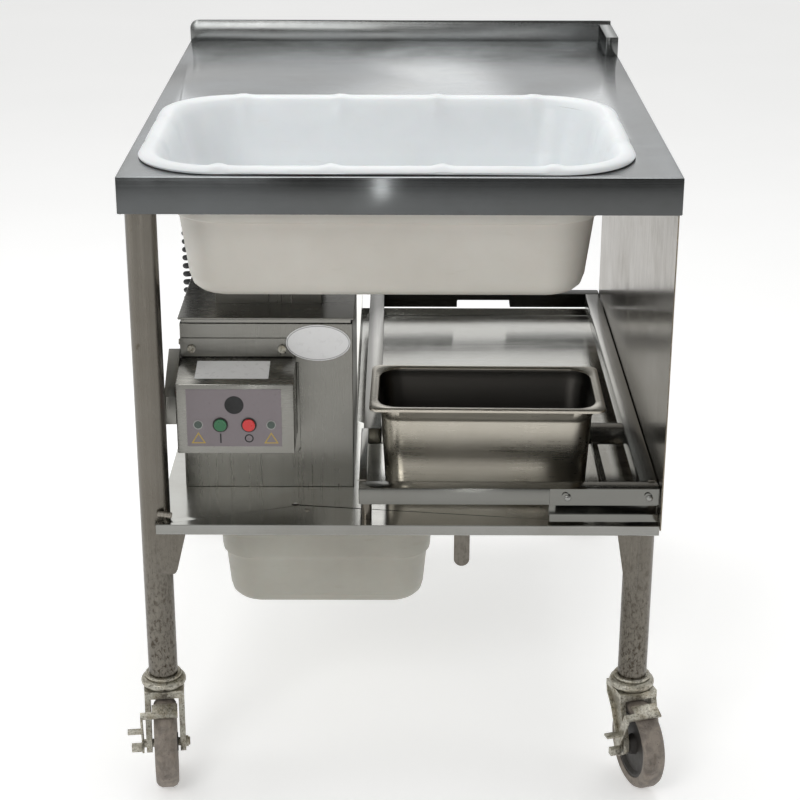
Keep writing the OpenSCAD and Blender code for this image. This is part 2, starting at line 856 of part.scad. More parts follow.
module upper_tub() {
    z1 = top_h + gap;
    color(plastic_white) translate([tub_x, tub_y, 0]) difference() {
        union() {
            tub_form(tub_body_w, tub_body_d, tub_body_r, tub_taper, tub_bottom, z1 + 2, 26);
            hull($fn = hull_fn) {
                plate(tub_rim_w, tub_rim_d, tub_rim_r, z1, 2);
                plate(tub_rim_w - 8, tub_rim_d - 8, tub_rim_r - 4, z1 + 5, 1);
                plate(tub_rim_w - 24, tub_rim_d - 24, tub_rim_r - 10, z1 + tub_rim_h - 1, 1);
            }
        }
        tub_form(tub_body_w - 2 * tub_wall, tub_body_d - 2 * tub_wall, tub_body_r - tub_wall,
                 tub_taper, tub_bottom + tub_wall, z1 + tub_rim_h + 2, 22);
        translate([house_x - tub_x, neck_y - tub_y, tub_bottom - 1]) cylinder(r = 45, h = 20);
    }
}

module tub_plug() {
    color("white") translate([house_x, neck_y, tub_bottom + tub_wall + gap]) {
        cylinder(r = 54, h = 5);
        translate([0, 0, -5]) cylinder(r = 44.5, h = 5 + eps);
        translate([0, 0, 5 - eps]) cylinder(r = 8, h = 14);
        translate([0, 0, 18]) cylinder(r = 15, h = 8);
    }
}

module lower_tub() {
    z0 = low_rim_z - low_tub_h;
    w = low_tub_w - 42;
    l = low_tub_l - 42;
    color(plastic_white) translate([low_tub_x, low_tub_y, 0]) difference() {
        union() {
            tub_form(w, l, 46, 20, z0, low_rim_z - 2, 20);
            hull($fn = hull_fn) {
                plate(low_tub_w, low_tub_l, 66, low_rim_z - 12, 2);
                plate(low_tub_w - 12, low_tub_l - 12, 60, low_rim_z - 1, 1);
            }
        }
        tub_form(w - 2 * tub_wall, l - 2 * tub_wall, 46 - tub_wall, 20, z0 + tub_wall,
                 low_rim_z + 2, 16);
    }
}

module pan() {
    z1 = pan_z + pan_h;
    color(steel) translate([pan_x, pan_y, 0]) rotate([0, 0, pan_turn]) difference() {
        union() {
            tub_form(pan_w - 26, pan_d - 26, 28, 20, pan_z, z1 - 1, 14);
            plate(pan_w, pan_d, 30, z1 - 3, 3);
        }
        tub_form(pan_w - 28.4, pan_d - 28.4, 26.8, 20, pan_z + 1.2, z1 + 2, 13);
    }
}

// ---------- what is drawn ----------

table_top();
backsplash();
shelf();
side_panel();
leg(0);  // leg_front_left
leg(1);  // leg_front_right
leg(2);  // leg_rear_left
leg(3);  // leg_rear_right
leg_gussets();
tub_rails();
caster_stems();
housing_shell();
housing_lid();
inlet_neck();
control_box();
control_overlay();
box_bracket();
blank_plates();
indicator_lamps();
housing_bolts();
drive_motor();
gearbox();
shaft_bearings();
difference() { screen_trough(); screen_slots(); }
outlet_chute();
strain_relief();
cord_hook();
cord_leads();
curly_cord();
plug();
rack_channel();
paddle_shaft();
paddle_blades();
start_button();
stop_button();
rack_front_bar();
rack_rear_bar();
rack_left_rail();
rack_right_rail();
rack_cross_bar();
rack_plate();
rack_posts();
upper_tub();
tub_plug();
lower_tub();
pan();
fork(0);  // fork_front_left
fork(1);  // fork_front_right
fork(2);  // fork_rear_left
fork(3);  // fork_rear_right
tread(0);  // tread_front_left
tread(1);  // tread_front_right
tread(2);  // tread_rear_left
tread(3);  // tread_rear_right
hub(0);  // hub_front_left
hub(1);  // hub_front_right
hub(2);  // hub_rear_left
hub(3);  // hub_rear_right
brake(0);  // brake_front_left
brake(1);  // brake_front_right
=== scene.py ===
import bpy, bmesh, math
from mathutils import Vector, Matrix


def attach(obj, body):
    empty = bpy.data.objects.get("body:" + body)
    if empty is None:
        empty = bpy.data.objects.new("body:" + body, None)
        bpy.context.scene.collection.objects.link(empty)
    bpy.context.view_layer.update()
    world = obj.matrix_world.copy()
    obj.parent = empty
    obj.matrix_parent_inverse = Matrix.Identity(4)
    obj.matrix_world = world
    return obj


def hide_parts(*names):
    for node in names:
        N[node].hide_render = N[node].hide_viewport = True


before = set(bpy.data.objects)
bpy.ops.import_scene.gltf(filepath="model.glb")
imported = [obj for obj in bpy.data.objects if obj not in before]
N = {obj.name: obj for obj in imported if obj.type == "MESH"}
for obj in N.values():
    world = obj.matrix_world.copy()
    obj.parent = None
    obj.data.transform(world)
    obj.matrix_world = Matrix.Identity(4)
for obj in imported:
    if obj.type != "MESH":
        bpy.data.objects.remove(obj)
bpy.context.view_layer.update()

SCN = bpy.context.scene
MM = 0.001


def lin(r, g, b):
    """8-bit sRGB to a linear colour."""
    f = lambda c: c / 12.92 if c <= 0.04045 else ((c + 0.055) / 1.055) ** 2.4
    return (f(r / 255), f(g / 255), f(b / 255), 1.0)


# ---------------------------------------------------------------- camera
cam = bpy.data.objects.new("camera", bpy.data.cameras.new("camera"))
bpy.context.collection.objects.link(cam)
cam.data.lens, cam.data.sensor_width = 84.06, 36.0
cam.data.clip_start, cam.data.clip_end = 0.1, 60.0
cam.matrix_world = (Matrix.Translation((0.001, -2.756, 1.505))
                    @ Matrix.Rotation(math.radians(90 - 21.55), 4, "X")
                    @ Matrix.Rotation(math.radians(0.14), 4, "Z"))
SCN.camera = cam


# ---------------------------------------------------------------- node helpers
class Tree:
    def __init__(self, name):
        self.mat = bpy.data.materials.new(name)
        self.mat.use_nodes = True
        self.nt = self.mat.node_tree
        self.bsdf = self.nt.nodes["Principled BSDF"]
        self.coord = self.nt.nodes.new("ShaderNodeTexCoord")

    def node(self, kind, **values):
        n = self.nt.nodes.new(kind)
        for k, v in values.items():
            if hasattr(n, k):
                setattr(n, k, v)
            else:
                n.inputs[k.replace("_", " ")].default_value = v
        return n

    def link(self, a, b):
        self.nt.links.new(a, b)

    def mapped(self, scale, rot=(0, 0, 0)):
        m = self.node("ShaderNodeMapping")
        m.inputs["Scale"].default_value = scale
        m.inputs["Rotation"].default_value = rot
        self.link(self.coord.outputs["Object"], m.inputs["Vector"])
        return m.outputs["Vector"]

    def noise(self, scale=(1, 1, 1), size=1.0, detail=4.0, rough=0.5, rot=(0, 0, 0), distort=0.0):
        n = self.node("ShaderNodeTexNoise", Scale=size, Detail=detail, Roughness=rough, Distortion=distort)
        self.link(self.mapped(scale, rot), n.inputs["Vector"])
        return n.outputs["Fac"]

    def ramp(self, fac, stops):
        r = self.node("ShaderNodeValToRGB")
        el = r.color_ramp.elements
        while len(el) < len(stops):
            el.new(0.5)
        for e, (p, c) in zip(el, stops):
            e.position = p
            e.color = c if len(c) == 4 else (*c, 1)
        self.link(fac, r.inputs["Fac"])
        return r.outputs["Color"]

    def to_range(self, fac, a, b, lo=0.0, hi=1.0):
        m = self.node("ShaderNodeMapRange")
        for k, v in (("From Min", lo), ("From Max", hi), ("To Min", a), ("To Max", b)):
            m.inputs[k].default_value = v
        self.link(fac, m.inputs["Value"])
        return m.outputs["Result"]

    def mix(self, fac, a, b, mode="MIX"):
        m = self.node("ShaderNodeMix", data_type="RGBA", blend_type=mode)
        for i, v in ((0, fac), (6, a), (7, b)):
            if hasattr(v, "default_value") or hasattr(v, "links"):
                self.link(v, m.inputs[i])
            else:
                m.inputs[i].default_value = v
        return m.outputs[2]

    def math(self, op, a, b=0.0):
        m = self.node("ShaderNodeMath", operation=op)
        for i, v in ((0, a), (1, b)):
            if hasattr(v, "links"):
                self.link(v, m.inputs[i])
            else:
                m.inputs[i].default_value = v
        return m.outputs[0]

    def axis(self, i):
        s = self.node("ShaderNodeSeparateXYZ")
        self.link(self.coord.outputs["Object"], s.inputs[0])
        return s.outputs[i]

    def bump(self, fac, strength, distance):
        b = self.node("ShaderNodeBump", Strength=strength, Distance=distance)
        self.link(fac, b.inputs["Height"])
        if self.bsdf.inputs["Normal"].links:
            self.link(self.bsdf.inputs["Normal"].links[0].from_socket, b.inputs["Normal"])
        self.link(b.outputs["Normal"], self.bsdf.inputs["Normal"])

    def set(self, **kw):
        for k, v in kw.items():
            k = k.replace("_", " ")
            if hasattr(v, "links"):
                self.link(v, self.bsdf.inputs[k])
            else:
                self.bsdf.inputs[k].default_value = v


def steel(name, tone, rough=0.28, grain="X", fine=1.0, smudge=0.5, aniso=0.6, front=1.0, stain=0.4, vary=0.05,
          rust=None):
    """Brushed stainless: fine grain along one axis (turned on faces that look along it), smudges, stains.

    front scales the base colour of faces that look along Y: fitted to the photograph's shade, not to the metal.
    rust is the range of heights, in metres, that the pitting fades out over."""
    t = Tree(name)
    along, across = 3.0, 800.0 * fine
    geo = t.node("ShaderNodeNewGeometry")
    sep = t.node("ShaderNodeSeparateXYZ")
    t.link(geo.outputs["Normal"], sep.inputs[0])
    other = {"X": "Y", "Y": "X", "Z": "X"}[grain]
    end_on = t.math("GREATER_THAN", t.math("ABSOLUTE", sep.outputs["XYZ".index(grain)]), 0.75)
    pair = []
    for axis in (grain, other):
        sc = [across] * 3
        sc["XYZ".index(axis)] = along
        pair.append(t.noise(tuple(sc), 1.0, 3.0, 0.7))
    m = t.node("ShaderNodeMix", data_type="FLOAT")
    for source, socket in zip((end_on, *pair), (m.inputs[0], m.inputs[2], m.inputs[3])):
        t.link(source, socket)
    fine_grain = m.outputs[0]
    cloud = t.noise((1, 1, 1), 4.5, 5.0, 0.55, distort=0.8)
    wisps = t.noise((1, 1, 1), 19.0, 6.0, 0.7, distort=2.0)
    spots = t.noise((1, 1, 1), 46.0, 3.0, 0.6)
    dark = tuple(c * (1 - vary) for c in tone[:3])
    light = tuple(c * (1 + vary) for c in tone[:3])
    col = t.ramp(fine_grain, [(0.35, dark), (0.65, light)])
    soft = t.ramp(cloud, [(0.35, (0.80, 0.78, 0.75)), (0.62, (1, 1, 1))])
    col = t.mix(smudge, col, soft, "MULTIPLY")
    col = t.mix(0.25 * smudge, col, t.ramp(wisps, [(0.40, (1, 1, 1)), (0.66, (0.86, 0.85, 0.83))]), "MULTIPLY")
    col = t.mix(stain, col, t.ramp(spots, [(0.68, (1, 1, 1)), (0.78, (0.60, 0.54, 0.46))]), "MULTIPLY")
    if rust:
        pits = t.noise((1, 1, 0.6), 240.0, 5.0, 0.7, distort=0.5)
        near = t.to_range(t.axis(2), 1.0, 0.0, rust[0], rust[1])
        flake = t.ramp(pits, [(0.38, (0.30, 0.25, 0.20)), (0.50, (1, 1, 1)), (0.66, (1.25, 1.24, 1.2))])
        col = t.mix(near, col, t.mix(1.0, col, flake, "MULTIPLY"))
        t.bump(pits, 0.2, 0.0006)
    # painted shade: faces that look along Y get their base colour scaled by front, darker where front is below 1
    if front != 1.0:
        facing = t.to_range(t.math("ABSOLUTE", sep.outputs[1]), 0.0, 1.0, 0.5, 0.85)
        col = t.mix(facing, col, t.mix(1.0, col, (front, front, front * 0.99, 1), "MULTIPLY"))
    r1 = t.to_range(fine_grain, rough - 0.03, rough + 0.03, 0.35, 0.65)
    r2 = t.to_range(cloud, -0.03, 0.05, 0.3, 0.7)
    r3 = t.to_range(wisps, -0.01, 0.02, 0.35, 0.7)
    vec = t.node("ShaderNodeCombineXYZ")
    vec.inputs["XYZ".index(grain)].default_value = 1.0
    t.link(vec.outputs[0], t.bsdf.inputs["Tangent"])
    t.set(Base_Color=col, Metallic=1.0, Roughness=t.math("ADD", t.math("ADD", r1, r2), r3),
          Anisotropic=aniso, Anisotropic_Rotation=0.25)
    t.bump(fine_grain, 0.02, 0.0002)
    t.bump(cloud, 0.03, 0.004)
    return t.mat


def plastic(name, col, shade, rough=0.42, marks=0.5, coat=0.0, sub=0.06):
    """Moulded food plastic: slight mottling, scuffs and a fine orange-peel surface."""
    t = Tree(name)
    mott = t.noise((1, 1, 1), 7.0, 5.0, 0.55)
    scuff = t.noise((18, 18, 95), 1.0, 4.0, 0.65)
    c = t.ramp(mott, [(0.3, shade), (0.65, col)])
    s = t.ramp(scuff, [(0.62, (1, 1, 1)), (0.80, (0.80, 0.77, 0.72))])
    t.set(Base_Color=t.mix(marks * 0.5, c, s, "MULTIPLY"),
          Roughness=t.to_range(scuff, rough - 0.06, rough + 0.12, 0.3, 0.7))
    t.set(Coat_Weight=coat, Coat_Roughness=0.15, Subsurface_Weight=sub, Subsurface_Scale=0.01)
    t.bump(t.noise((1, 1, 1), 420.0, 2.0), 0.06, 0.0006)
    t.bump(mott, 0.10, 0.003)
    return t.mat


def paint(name, col, rough=0.4, metallic=0.0, speck=0.4, size=60.0, coat=0.0, dirt=(0.6, 0.55, 0.5)):
    t = Tree(name)
    n = t.noise((1, 1, 1), size, 5.0, 0.6)
    d = t.noise((1, 1, 1), size * 0.22, 4.0, 0.55)
    c = t.mix(speck, col, t.ramp(n, [(0.35, (0.75, 0.74, 0.72)), (0.65, (1, 1, 1))]), "MULTIPLY")
    c = t.mix(speck * 0.8, c, t.ramp(d, [(0.55, (1, 1, 1)), (0.75, dirt)]), "MULTIPLY")
    t.set(Base_Color=c, Metallic=metallic, Roughness=t.to_range(n, rough - 0.08, rough + 0.14, 0.3, 0.7),
          Coat_Weight=coat)
    t.bump(n, 0.12, 0.0008)
    return t.mat


def corroded(name, clean, dull, pit):
    """Zinc plate with white bloom, dark pits and brown stains."""
    t = Tree(name)
    big = t.noise((1, 1, 1), 42.0, 5.0, 0.6, distort=0.6)
    small = t.noise((1, 1, 1), 260.0, 6.0, 0.72)
    pits = t.noise((1, 1, 1), 430.0, 3.0, 0.6, distort=1.0)
    c = t.ramp(small, [(0.34, dull), (0.5, clean), (0.68, tuple(min(1, x * 1.35) for x in clean[:3]))])
    c = t.mix(0.8, c, t.ramp(big, [(0.38, (0.62, 0.57, 0.48)), (0.56, (1, 1, 1))]), "MULTIPLY")
    c = t.mix(1.0, c, t.ramp(pits, [(0.30, pit), (0.40, (1, 1, 1))]), "MULTIPLY")
    t.set(Base_Color=c, Metallic=t.to_range(big, 0.65, 0.95, 0.35, 0.6),
          Roughness=t.to_range(small, 0.24, 0.52, 0.3, 0.7))
    t.bump(small, 0.35, 0.0008)
    t.bump(pits, 0.25, 0.0006)
    return t.mat


def rubber(name, col, worn, dark):
    """Old wheel tread: scuffs, embedded grit and lighter worn patches."""
    t = Tree(name)
    n = t.noise((1, 1, 1), 60.0, 6.0, 0.65, distort=0.7)
    s = t.noise((90, 26, 26), 1.0, 5.0, 0.7)
    grit = t.noise((1, 1, 1), 330.0, 3.0, 0.6)
    c = t.ramp(n, [(0.32, col), (0.60, worn)])
    c = t.mix(0.7, c, t.ramp(s, [(0.34, (0.62, 0.58, 0.54)), (0.52, (1, 1, 1))]), "MULTIPLY")
    c = t.mix(1.0, c, t.ramp(grit, [(0.27, dark), (0.35, (1, 1, 1))]), "MULTIPLY")
    t.set(Base_Color=c, Roughness=t.to_range(n, 0.5, 0.75, 0.3, 0.7))
    t.bump(s, 0.25, 0.0012)
    t.bump(grit, 0.3, 0.0006)
    return t.mat


# one entry per finish; steel: name, colour, roughness, grain axis, grain fineness, smudges, anisotropy, front
# (painted shade: below 1 darkens faces that look along Y), stains
M = {
    "top": steel("steel_top", lin(154, 157, 159), 0.17, "X", 0.5, 0.55, 0.94, 0.34, 0.3, 0.04),
    "splash": steel("steel_splash", lin(134, 136, 136), 0.17, "X", 0.5, 0.35, 0.92, 0.8, 0.2, 0.04),
    "shelf": steel("steel_shelf", lin(210, 210, 206), 0.18, "X", 0.5, 0.6, 0.5, 0.42, 0.35, 0.04),
    "panel": steel("steel_panel", lin(124, 116, 103), 0.20, "Z", 0.35, 0.45, 0.6, 1.0, 0.2, 0.04),
    "house": steel("steel_housing", lin(126, 125, 120), 0.29, "Z", 0.35, 0.3, 0.5, 1.0, 0.15, 0.03),
    "box": steel("steel_box", lin(134, 133, 128), 0.24, "X", 0.4, 0.35, 0.5, 1.0, 0.2, 0.03),
    "leg": steel("steel_leg", lin(110, 106, 99), 0.26, "Z", 0.6, 0.8, 0.4, 1.0, 0.9, 0.06, (0.17, 0.42)),
    "rack": steel("steel_rack_x", lin(138, 138, 134), 0.18, "X", 0.5, 0.4, 0.6, 0.74, 0.3, 0.04),
    "rack_y": steel("steel_rack_y", lin(138, 137, 132), 0.20, "Y", 0.5, 0.4, 0.5, 1.0, 0.3, 0.04),
    # painted shade: this dark steel stands for the shade on the rear rack bar under the tub; the start and stop
    # bezels use the same dark steel
    "dark_and_painted_shade": steel("steel_dark_and_painted_shade", lin(60, 60, 58), 0.34, "X", 0.5, 0.6, 0.4),
    "pan": steel("steel_pan", lin(188, 183, 172), 0.30, "X", 0.4, 0.5, 0.0, 1.0, 0.6, 0.02),
    # painted shade: a darker copy of the pan steel for the pan's inside faces
    "pan_inside_painted_shade": steel("steel_pan_inside_painted_shade", lin(70, 68, 65), 0.36, "X", 0.4, 0.4, 0.0, 1.0, 0.5, 0.02),
    "plain": steel("steel_turned", lin(146, 146, 143), 0.26, "Y", 0.5, 0.3, 0.4),
    "zinc": corroded("zinc_plate", lin(182, 179, 168), lin(112, 107, 96), (0.20, 0.17, 0.13)),
    "tub": plastic("tub_white", lin(236, 239, 241), lin(228, 231, 233), 0.34, 0.5, 0.0, 0.06),
    # partly painted shade: a darker, beiger copy of the tub plastic for the tub's outside
    "tub_out_partly_shaded": plastic("tub_outside_partly_shaded", lin(196, 193, 185), lin(187, 183, 174), 0.40, 0.7, 0.0, 0.04),
    "low": plastic("tub_beige", lin(170, 168, 158), lin(156, 153, 143), 0.45, 0.8),
    "tread": rubber("tread_grey", lin(100, 92, 85), lin(138, 129, 119), (0.25, 0.2, 0.16)),
    "hub": paint("hub_dark", lin(58, 55, 52), 0.5, 0.2, 0.7, 70.0),
    "overlay": paint("overlay_grey", lin(120, 112, 115), 0.35, 0.0, 0.15, 200.0),
    "label": paint("label_white", lin(228, 228, 228), 0.3, 0.0, 0.12, 120.0),
    "print": paint("print_grey", lin(150, 148, 150), 0.35, 0.0, 0.15, 160.0),
    "yellow": paint("print_yellow", lin(176, 150, 60), 0.4, 0.0, 0.2, 160.0),
    "weld": paint("weld_grey", lin(158, 153, 144), 0.42, 0.85, 0.6, 260.0),
    "black": paint("plastic_black", lin(13, 13, 14), 0.5, 0.0, 0.3, 150.0),
    "green": paint("button_green", lin(8, 96, 52), 0.3, 0.0, 0.2, 160.0, 0.3),
    "red": paint("button_red", lin(196, 26, 26), 0.3, 0.0, 0.2, 160.0, 0.3),
    "lamp": paint("lens_dark", lin(24, 52, 38), 0.15, 0.0, 0.2, 160.0, 0.6),
    "motor": paint("paint_grey", lin(96, 102, 106), 0.45, 0.1, 0.5, 60.0),
    "cord": paint("cord_black", lin(20, 20, 22), 0.5, 0.0, 0.5, 220.0),
}
NODE_MAT = {
    "table_top": "top", "backsplash": "splash", "shelf": "shelf", "side_panel": "panel",
    "leg_front_left": "leg", "leg_front_right": "leg", "leg_rear_left": "leg", "leg_rear_right": "leg",
    "leg_gussets": "leg", "tub_rails": "leg", "caster_stems": "zinc",
    "housing_shell": "house", "housing_lid": "box", "inlet_neck": "house", "control_box": "box",
    "control_overlay": "overlay", "box_bracket": "house", "blank_plates": "label",
    "indicator_lamps": "lamp", "housing_bolts": "zinc", "drive_motor": "motor", "gearbox": "motor",
    "shaft_bearings": "plain", "screen_trough": "plain", "outlet_chute": "house",
    "strain_relief": "black", "cord_hook": "plain", "plug": "black",
    "rack_channel": "rack", "paddle_shaft": "plain", "paddle_blades": "plain",
    # the rear rack bar takes the dark steel as painted shade
    "start_button": "green", "stop_button": "red", "rack_front_bar": "rack", "rack_rear_bar": "dark_and_painted_shade",
    "rack_left_rail": "rack_y", "rack_right_rail": "rack_y", "rack_cross_bar": "rack",
    "rack_plate": "rack", "rack_posts": "leg", "upper_tub": "tub", "tub_plug": "tub",
    "lower_tub": "low", "pan": "pan", "cord_leads": "cord", "curly_cord": "cord",
}
for kind, key in (("fork", "zinc"), ("tread", "tread"), ("hub", "hub"), ("brake", "zinc")):
    for n in N:
        if n.startswith(kind + "_"):
            NODE_MAT[n] = key
for n, o in N.items():
    m = M[NODE_MAT[n]]
    if not o.data.materials:
        o.data.materials.append(m)
    for s in o.material_slots:
        s.material = m


def bevel(o, width, segs=2, angle=40):
    b = o.modifiers.new("bevel", "BEVEL")
    b.width, b.segments, b.limit_method, b.angle_limit = width, segs, "ANGLE", math.radians(angle)
    b.use_clamp_overlap = True
    b.miter_outer = "MITER_ARC"
    return b


def smooth_cad(o, angle=38):
    """Welds split corners through a modifier and shades every face smooth."""
    me = o.data
    me.polygons.foreach_set("use_smooth", [True] * len(me.polygons))
    if "custom_normal" in me.attributes:
        me.attributes.remove(me.attributes["custom_normal"])
    w = o.modifiers.new("weld", "WELD")
    w.merge_threshold = 2e-6


def split(o, angle=38):
    e = o.modifiers.new("split", "EDGE_SPLIT")
    e.split_angle = math.radians(angle)


ROUND = {"table_top": 2.0, "backsplash": 1.2, "shelf": 1.0, "side_panel": 1.0, "housing_shell": 0.8,
         "housing_lid": 0.8, "inlet_neck": 0.8, "control_box": 1.6, "box_bracket": 0.9, "rack_front_bar": 2.0,
         "rack_rear_bar": 2.0, "rack_left_rail": 2.0, "rack_right_rail": 2.0, "rack_cross_bar": 1.2,
         "rack_plate": 0.8, "rack_channel": 0.8, "drive_motor": 1.0, "gearbox": 2.0, "screen_trough": 0.6,
         "outlet_chute": 0.8, "leg_gussets": 0.5, "tub_rails": 0.5, "start_button": 0.6, "stop_button": 0.6,
         "tub_plug": 1.2, "strain_relief": 0.6, "plug": 1.2, "cord_hook": 0.6, "paddle_blades": 0.5}
for n, o in N.items():
    if n.startswith(("curly", "cord_leads", "upper_tub", "lower_tub")) or n == "pan":
        continue
    smooth_cad(o)
    w = ROUND.get(n, 0.8 if n.startswith(("fork_", "brake_")) else 0)
    if w:
        bevel(o, w * MM, 2 if w > 1 else 1)
    split(o, 38 if w else 30)


# ---------------------------------------------------------------- mesh helpers
def add(name, verts, faces, mat, body, smooth=True, replaces=(), slot=None):
    me = bpy.data.meshes.new(name)
    me.from_pydata([tuple(v) for v in verts], [], faces)
    me.validate()
    bm = bmesh.new()
    bm.from_mesh(me)
    bmesh.ops.remove_doubles(bm, verts=bm.verts, dist=1e-6)
    bmesh.ops.recalc_face_normals(bm, faces=bm.faces)
    bm.to_mesh(me)
    bm.free()
    o = bpy.data.objects.new(name, me)
    bpy.context.collection.objects.link(o)
    me.materials.append(M[mat] if isinstance(mat, str) else mat)
    if smooth:
        for p in me.polygons:
            p.use_smooth = True
    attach(o, body)
    if replaces:
        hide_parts(*replaces)
    return o


def sharp(o, angle=32):
    """Flat where faces meet at more than the angle, smooth elsewhere."""
    me = o.data
    bm = bmesh.new()
    bm.from_mesh(me)
    for e in bm.edges:
        e.smooth = len(e.link_faces) == 2 and e.calc_face_angle(0) < math.radians(angle)
    bm.to_mesh(me)
    bm.free()
    return o


def rrect(w, d, r, side=(40, 24), arc=12):
    """Points round a rounded rectangle, always the same count."""
    pts = []
    hx, hy = w / 2 - r, d / 2 - r
    for k, (cx, cy) in enumerate(((hx, hy), (-hx, hy), (-hx, -hy), (hx, -hy))):
        for i in range(arc):
            a = math.radians(90 * k + 90 * i / arc)
            pts.append((cx + r * math.cos(a), cy + r * math.sin(a)))
        nx, ny = ((-hx, hy), (-hx, -hy), (hx, -hy), (hx, hy))[k]
        a = math.radians(90 * (k + 1))
        p0 = (cx + r * math.cos(a), cy + r * math.sin(a))
        p1 = (nx + r * math.cos(a), ny + r * math.sin(a))
        m = side[k % 2]
        for i in range(m):
            pts.append((p0[0] + (p1[0] - p0[0]) * i / m, p0[1] + (p1[1] - p0[1]) * i / m))
    return pts


def loft(rings, cap=True):
    """Verts and faces for a stack of equal rings, first and last closed to their middles."""
    n = len(rings[0])
    v = [p for r in rings for p in r]
    f = []
    for i in range(len(rings) - 1):
        for k in range(n):
            a, b = i * n + k, i * n + (k + 1) % n
            f.append((a, b, b + n, a + n))
    if cap:
        f.append(tuple(range(n - 1, -1, -1)))
        f.append(tuple((len(rings) - 1) * n + k for k in range(n)))
    return v, f


def tub_mesh(profile, cx, cy, side, arc, tweak=None):
    """profile: (w, d, r, z) in mm from the outer floor round the rim to the inner floor."""
    rings = []
    for j, (w, d, r, z) in enumerate(profile):
        ring = []
        for x, y in rrect(w, d, r, side, arc):
            dx = dy = dz = 0
            if tweak:
                dx, dy, dz = tweak(j, x, y)
            ring.append(((cx + x + dx) * MM, (cy + y + dy) * MM, (z + dz) * MM))
        rings.append(ring)
    return loft(rings)


def lathe(points, n=48):
    """Verts and faces of a profile (radius, height) turned about Z."""
    rings = [[(r * math.cos(2 * math.pi * k / n), r * math.sin(2 * math.pi * k / n), z) for k in range(n)]
             for r, z in points]
    return loft(rings)


def place(verts, matrix):
    return [tuple(matrix @ Vector(v)) for v in verts]


def cut(o, name, verts, faces):
    """Cuts a shape out of a mesh and keeps the result as plain mesh."""
    me = bpy.data.meshes.new(name)
    me.from_pydata(verts, [], faces)
    c = bpy.data.objects.new(name, me)
    bpy.context.collection.objects.link(c)
    b = o.modifiers.new("cut", "BOOLEAN")
    b.object, b.operation, b.solver = c, "DIFFERENCE", "EXACT"
    dg = bpy.context.evaluated_depsgraph_get()
    dg.update()
    new = bpy.data.meshes.new_from_object(o.evaluated_get(dg))
    o.modifiers.clear()
    o.data = new
    bpy.data.objects.remove(c, do_unlink=True)
    bpy.data.meshes.remove(me)


# ---------------------------------------------------------------- cord
def curve(name, pts, radius, mat, body):
    """A round cord of one radius through the points, with closed ends."""
    cu = bpy.data.curves.new(name, "CURVE")
    cu.dimensions, cu.bevel_depth, cu.bevel_resolution, cu.use_fill_caps = "3D", radius, 6, True
    s = cu.splines.new("POLY")
    s.points.add(len(pts) - 1)
    for p, q in zip(s.points, pts):
        p.co = (*q, 1)
    cu.materials.append(M[mat] if isinstance(mat, str) else mat)
    o = bpy.data.objects.new(name, cu)
    bpy.context.collection.objects.link(o)
    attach(o, body)
    return o


# all in mm: the table's front edge, the back of the sifter housing, then the coil: middle, ends, radius and pitch
FRONT = -460.0
HB = FRONT + 148 + 244
CX, CY, LOW, HIGH = -318.0, FRONT + 430, 470.0, 800.0
COIL_R, PITCH = 9.2, 12.7
low_lead = [(-285, HB + 35, 500), (-285, HB + 62, 499), (-286, HB + 82, 494), (-288, HB + 99, 482),
            (-292, HB + 107, 464), (-297, HB + 103, 445), (-303, HB + 90, 431), (-309, HB + 72, 425),
            (-314, HB + 53, 428), (CX, HB + 40, 440), (CX, CY, 455)]
turns = int((HIGH - LOW - 8) / PITCH)
helix = []
STEPS = 16  # points per turn
for i in range(turns * STEPS + 1):
    u = i / (turns * STEPS)
    a = 2 * math.pi * turns * u
    t = min(1.0, u * turns, (1 - u) * turns)  # the coil opens over its first turn and closes over its last
    k = t * t * (3 - 2 * t)
    helix.append((CX + COIL_R * k * math.cos(a), CY + COIL_R * k * math.sin(a), LOW + 4 + (HIGH - LOW - 8) * u))
HY = CY + 34
high_lead = [(CX, CY, HIGH)] + [(CX, HY - 34 * math.cos(math.radians(a)), HIGH + 34 * math.sin(math.radians(a)))
                                for a in range(20, 181, 20)] + [(CX, HY + 34, z) for z in (770, 740, 710)]


def smooth_line(pts, n):
    """Catmull-Rom through the points, n steps each."""
    out = []
    q = [pts[0]] + list(pts) + [pts[-1]]
    for i in range(1, len(q) - 2):
        for s in range(n):
            t = s / n
            a, b, c, d = (Vector(q[i + k]) for k in (-1, 0, 1, 2))
            out.append(tuple(0.5 * ((2 * b) + (c - a) * t + (2 * a - 5 * b + 4 * c - d) * t * t
                                    + (3 * b - a - 3 * c + d) * t ** 3)))
    out.append(tuple(pts[-1]))
    return out


route = [tuple(c * MM for c in p) for p in smooth_line(low_lead, 4) + helix + smooth_line(high_lead, 3)]
cord = curve("curly_cord_line", route, 4 * MM, "cord", "table")
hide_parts("curly_cord", "cord_leads")

# ---------------------------------------------------------------- breading tub
TX, TY, TB = -17.0, FRONT + 8 + 223, 717.0  # middle and underside
RIBS = (-214, -71, 71, 214)
RIM_IN, RIM_OUT = 13, 18  # the profile rows that the ribs rise on


def tub_ribs(j, x, y):
    """Small moulded ribs on the inner edge of the rim, and a slightly wavy edge."""
    if RIM_IN <= j <= RIM_OUT:
        k = 1.0 if RIM_IN < j < RIM_OUT else 0.5
        if abs(y) > 150:
            b = max(math.exp(-((x - r) / 9.0) ** 2) for r in RIBS)
            sy = -1 if y > 0 else 1
            return 0, sy * 3.6 * b * k, 2.6 * b * k
        if abs(x) > 250:
            b = max(math.exp(-((y - r) / 9.0) ** 2) for r in (-62, 62))
            sx = -1 if x > 0 else 1
            return sx * 3.6 * b * k, 0, 2.6 * b * k
    if j >= 4:
        return 0.6 * math.sin(y / 47.0), 0.8 * math.sin(x / 61.0), 0.5 * math.sin(x / 83.0 + y / 57.0)
    return 0, 0, 0


